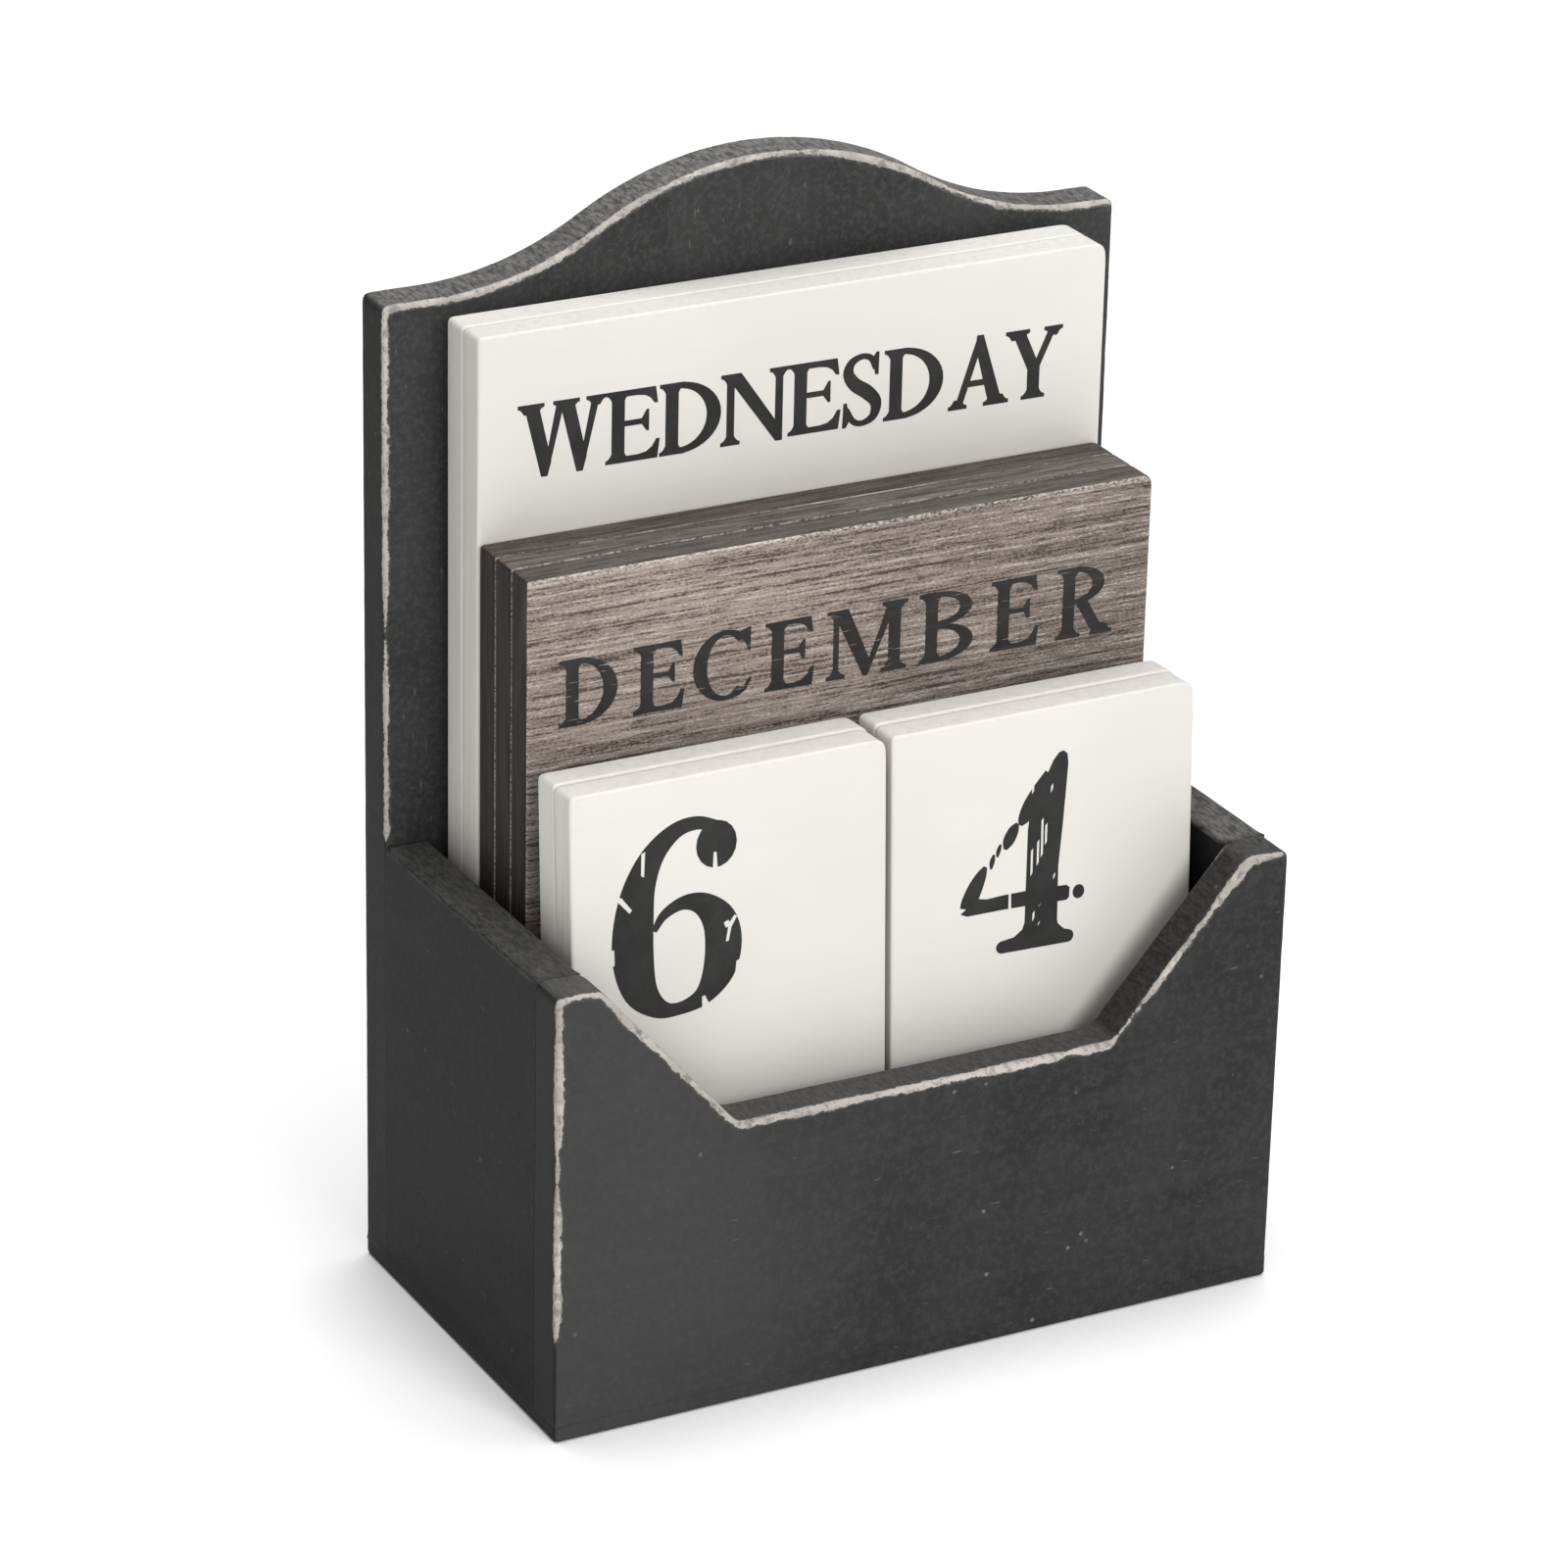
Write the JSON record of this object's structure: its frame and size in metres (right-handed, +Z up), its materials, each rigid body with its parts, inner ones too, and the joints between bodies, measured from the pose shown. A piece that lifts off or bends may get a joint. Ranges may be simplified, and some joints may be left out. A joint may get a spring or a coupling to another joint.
{
  "type": "flip desk calendar",
  "caption": "Open wooden box with a cut-out front and a crowned back board, holding loose tiles for weekday, month and date that lift out and turn over.",
  "frame": {"origin": "middle of the underside of the base board", "axes": "+Z up, +X to the right as seen from the front, -Y towards the viewer in front of the cut-out panel"},
  "size_m": [0.14, 0.0764, 0.1973],
  "materials": {
    "painted_board": "matt black paint rubbed through along the edges",
    "ivory_tile": "satin ivory paint",
    "weathered_tile": "brushed grey-brown wood with a dry whitewash",
    "steel_pin": "bright drawn wire"
  },
  "bodies": {
    "holder": {"base_board": "painted_board", "left_side": "painted_board", "right_side": "painted_board", "front_panel": "painted_board", "back_board": "painted_board", "front_pins": "steel_pin", "back_pins": "steel_pin", "base_pins": "steel_pin"},
    "day_tile_rear": {"day_tile_rear": "ivory_tile"},
    "day_tile_front": {"day_tile_front": "ivory_tile"},
    "month_tile_rear": {"month_tile_rear": "weathered_tile"},
    "month_tile_middle": {"month_tile_middle": "weathered_tile"},
    "month_tile_front": {"month_tile_front": "weathered_tile"},
    "tens_tile_rear": {"tens_tile_rear": "ivory_tile"},
    "tens_tile_front": {"tens_tile_front": "ivory_tile"},
    "units_tile_rear": {"units_tile_rear": "ivory_tile"},
    "units_tile_front": {"units_tile_front": "ivory_tile"}
  },
  "joints": [
    {"name": "day_tile_rear_lift", "type": "slide", "parent": "holder", "child": "day_tile_rear", "axis": [0, 0, 1], "range_m": [0, 0.14]},
    {"name": "day_tile_front_lift", "type": "slide", "parent": "holder", "child": "day_tile_front", "axis": [0, 0, 1], "range_m": [0, 0.14]},
    {"name": "month_tile_rear_lift", "type": "slide", "parent": "holder", "child": "month_tile_rear", "axis": [0, 0, 1], "range_m": [0, 0.107]},
    {"name": "month_tile_middle_lift", "type": "slide", "parent": "holder", "child": "month_tile_middle", "axis": [0, 0, 1], "range_m": [0, 0.107]},
    {"name": "month_tile_front_lift", "type": "slide", "parent": "holder", "child": "month_tile_front", "axis": [0, 0, 1], "range_m": [0, 0.107]},
    {"name": "tens_tile_rear_lift", "type": "slide", "parent": "holder", "child": "tens_tile_rear", "axis": [0, 0.0489, 0.9988], "range_m": [0, 0.08]},
    {"name": "tens_tile_front_lift", "type": "slide", "parent": "holder", "child": "tens_tile_front", "axis": [0, 0.0489, 0.9988], "range_m": [0, 0.08]},
    {"name": "units_tile_rear_lift", "type": "slide", "parent": "holder", "child": "units_tile_rear", "axis": [0, 0.0489, 0.9988], "range_m": [0, 0.08]},
    {"name": "units_tile_front_lift", "type": "slide", "parent": "holder", "child": "units_tile_front", "axis": [0, 0.0489, 0.9988], "range_m": [0, 0.08]}
  ]
}
